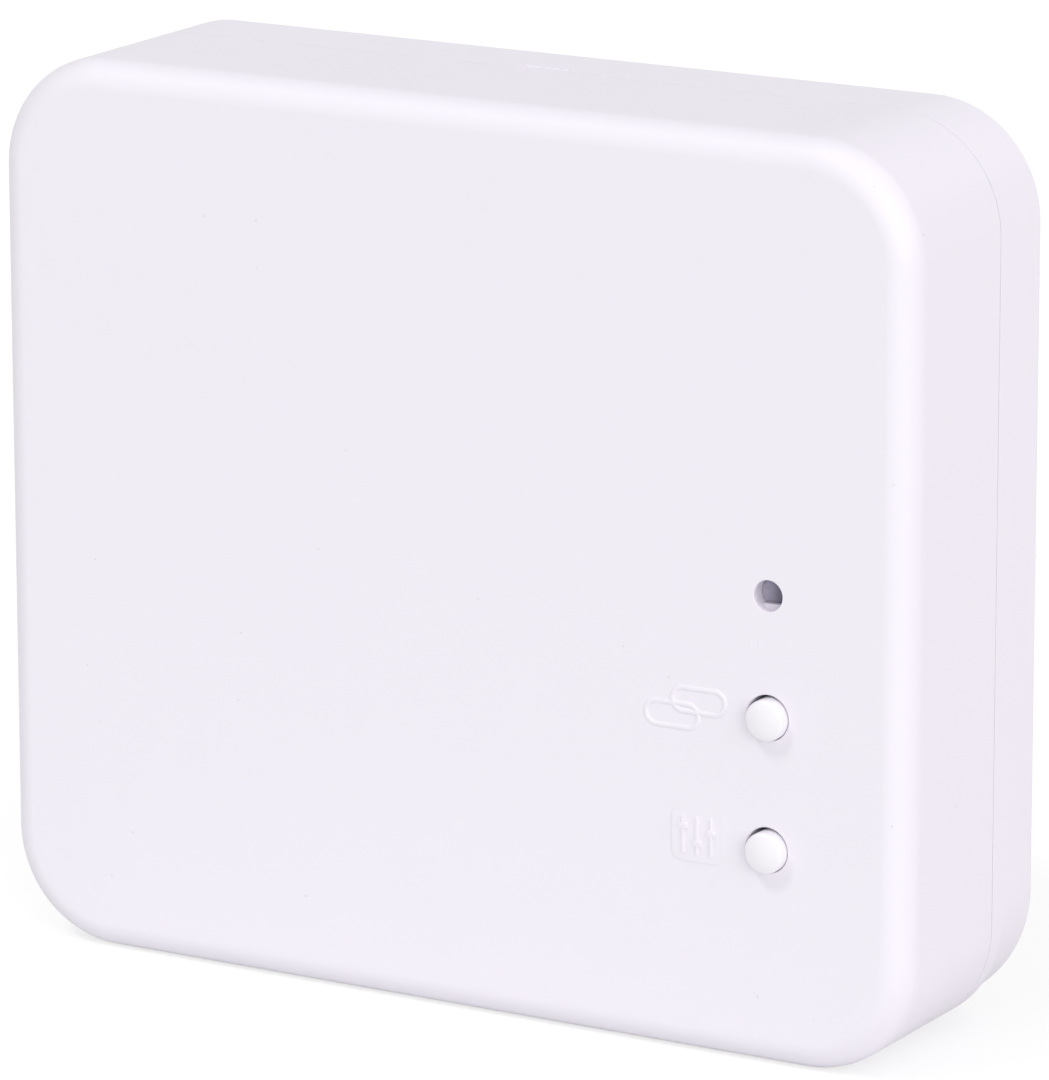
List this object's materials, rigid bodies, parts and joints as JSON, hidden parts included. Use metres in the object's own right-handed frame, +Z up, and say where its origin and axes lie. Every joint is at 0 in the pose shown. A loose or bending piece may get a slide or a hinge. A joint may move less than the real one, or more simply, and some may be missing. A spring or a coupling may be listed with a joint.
{
  "type": "wifi thermostat receiver",
  "caption": "Wall-mounted receiver box of a wireless heating thermostat: rounded two-part case with a status light and small round push-buttons.",
  "frame": {"origin": "centre of the rear face that lies on the wall", "axes": "+X to the right seen from the front, +Z up, +Y into the wall, so the front looks along -Y"},
  "size_m": [0.1, 0.0275, 0.089],
  "materials": {
    "white_case": "fine satin moulded finish, very slightly lavender white",
    "white_button": "smooth satin moulded finish",
    "clear_guide": "clear moulded acrylic with a frosted end",
    "board_green": "glass laminate under solder resist",
    "zinc_steel": "zinc plated",
    "lamp_lens": "diffused resin",
    "switch_black": "moulded nylon",
    "plunger_black": "moulded nylon",
    "potted_black": "moulded case with a fine spark-eroded grain",
    "relay_blue": "moulded cap",
    "terminal_green": "moulded polyamide",
    "nickel_brass": "nickel plated",
    "fuse_brown": "moulded cap",
    "varistor_blue": "dipped epoxy",
    "film_yellow": "plastic box with resin",
    "can_sleeve": "shrunk sleeve over an aluminium can",
    "radio_board": "glass laminate under black solder resist",
    "shield_tin": "tin plated sheet",
    "chip_black": "moulded epoxy",
    "header_black": "moulded",
    "gilt_pin": "gilt",
    "ceramic": "fired ceramic with tinned ends",
    "clamp_grey": "moulded polyamide"
  },
  "bodies": {
    "housing": {"front_cover": "white_case", "rear_base": "white_case", "light_guide": "clear_guide", "circuit_board": "board_green", "board_screws": "zinc_steel", "clamp_screws": "zinc_steel", "status_lamp": "lamp_lens", "pairing_switch": "switch_black", "manual_switch": "switch_black", "power_module": "potted_black", "relay": "relay_blue", "mains_terminal": "terminal_green", "relay_terminal": "terminal_green", "terminal_cages": "nickel_brass", "terminal_screws": "zinc_steel", "fuse": "fuse_brown", "varistor": "varistor_blue", "suppression_capacitor": "film_yellow", "smoothing_capacitors": "can_sleeve", "radio_module": "radio_board", "radio_shield": "shield_tin", "control_chip": "chip_black", "regulator": "chip_black", "service_header": "header_black", "service_pins": "gilt_pin", "small_parts": "ceramic", "left_cable_clamp": "clamp_grey", "right_cable_clamp": "clamp_grey"},
    "pairing_button": {"pairing_button": "white_button"},
    "manual_button": {"manual_button": "white_button"},
    "pairing_plunger": {"pairing_switch_plunger": "plunger_black"},
    "manual_plunger": {"manual_switch_plunger": "plunger_black"}
  },
  "joints": [
    {"name": "pairing_press", "type": "slide", "parent": "housing", "child": "pairing_button", "axis": [0, 1, 0], "range_m": [0, 0.0003], "stiffness_N_per_m": 3000},
    {"name": "manual_press", "type": "slide", "parent": "housing", "child": "manual_button", "axis": [0, 1, 0], "range_m": [0, 0.0003], "stiffness_N_per_m": 3000},
    {"name": "pairing_switch_press", "type": "slide", "parent": "housing", "child": "pairing_plunger", "axis": [0, 1, 0], "range_m": [0, 0.0003]},
    {"name": "manual_switch_press", "type": "slide", "parent": "housing", "child": "manual_plunger", "axis": [0, 1, 0], "range_m": [0, 0.0003]}
  ],
  "couplings": [
    {"joint": "pairing_switch_press", "follows": "pairing_press", "ratio": 1},
    {"joint": "manual_switch_press", "follows": "manual_press", "ratio": 1}
  ]
}
